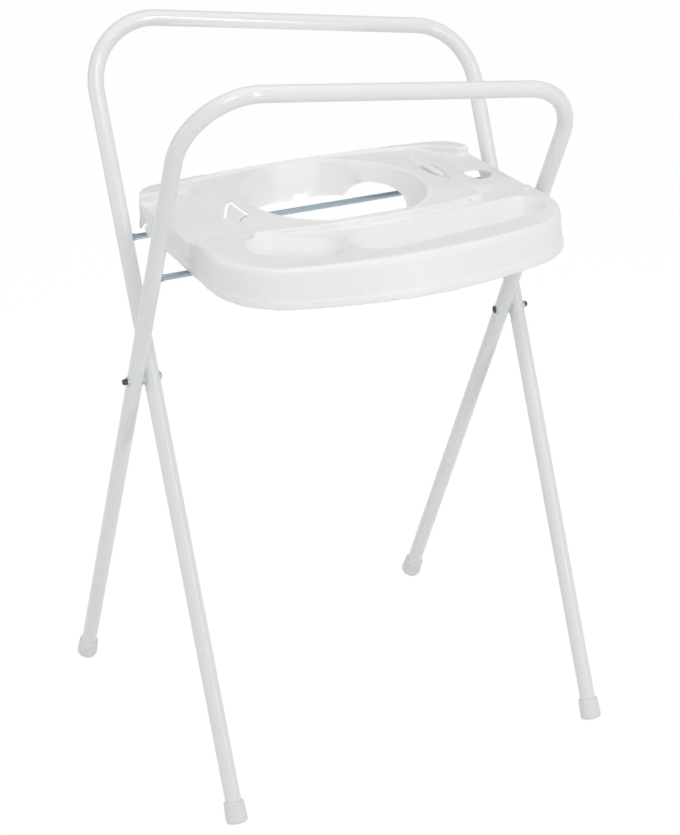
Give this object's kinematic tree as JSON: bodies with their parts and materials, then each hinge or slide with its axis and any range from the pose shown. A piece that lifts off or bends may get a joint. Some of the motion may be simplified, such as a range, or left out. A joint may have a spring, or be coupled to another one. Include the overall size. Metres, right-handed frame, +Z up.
{
  "type": "baby bath stand",
  "caption": "folding steel-tube stand with a moulded tray that carries a baby bath at standing height, with sloping handles, soap dishes and slip-on feet",
  "frame": {"origin": "on the floor, under the middle of the overall box of the stand", "axes": "+X along the handles to the right, +Y to the back, +Z up"},
  "size_m": [0.6276, 0.5426, 1.0039],
  "materials": {
    "enamelled_tube": "glossy white stoved enamel on steel tube",
    "cap_plastic": "soft white moulded plastic",
    "plated_rod": "bright zinc-plated drawn rod",
    "plated_fastener": "dark plated steel",
    "washer_steel": "bright plated steel",
    "spacer_plastic": "light grey plastic",
    "tray_plastic": "satin white moulded plastic"
  },
  "bodies": {
    "rear_frame": {"rear_handle_frame": "enamelled_tube", "foot_front_left": "cap_plastic", "foot_front_right": "cap_plastic", "rear_rod": "plated_rod", "pivot_bolt_left": "plated_fastener", "pivot_bolt_right": "plated_fastener", "lock_nut_left": "plated_fastener", "lock_nut_right": "plated_fastener", "head_washer_left": "washer_steel", "nut_washer_right": "washer_steel", "spacer_rear_frame_left": "spacer_plastic", "spacer_rear_frame_right": "spacer_plastic"},
    "front_frame": {"front_handle_frame": "enamelled_tube", "foot_rear_left": "cap_plastic", "foot_rear_right": "cap_plastic", "front_rod": "plated_rod", "head_washer_right": "washer_steel", "nut_washer_left": "washer_steel", "spacer_front_frame_left": "spacer_plastic", "spacer_front_frame_right": "spacer_plastic"},
    "tray": {"tray": "tray_plastic"},
    "latch": {"bath_latch": "tray_plastic"}
  },
  "joints": [
    {"name": "fold", "type": "hinge", "parent": "rear_frame", "child": "front_frame", "pos_m": [0, 0.00613, 0.562], "axis": [-1, 0, 0], "range_deg": [0, 32]},
    {"name": "tray_tilt", "type": "hinge", "parent": "rear_frame", "child": "tray", "pos_m": [0, 0.08348, 0.7326], "axis": [-1, 0, 0], "range_deg": [0, 65.6]},
    {"name": "latch_slide", "type": "slide", "parent": "tray", "child": "latch", "axis": [0, 1, 0], "range_m": [0, 0.02]}
  ],
  "couplings": [
    {"joint": "tray_tilt", "follows": "fold", "ratio": 2.05}
  ]
}
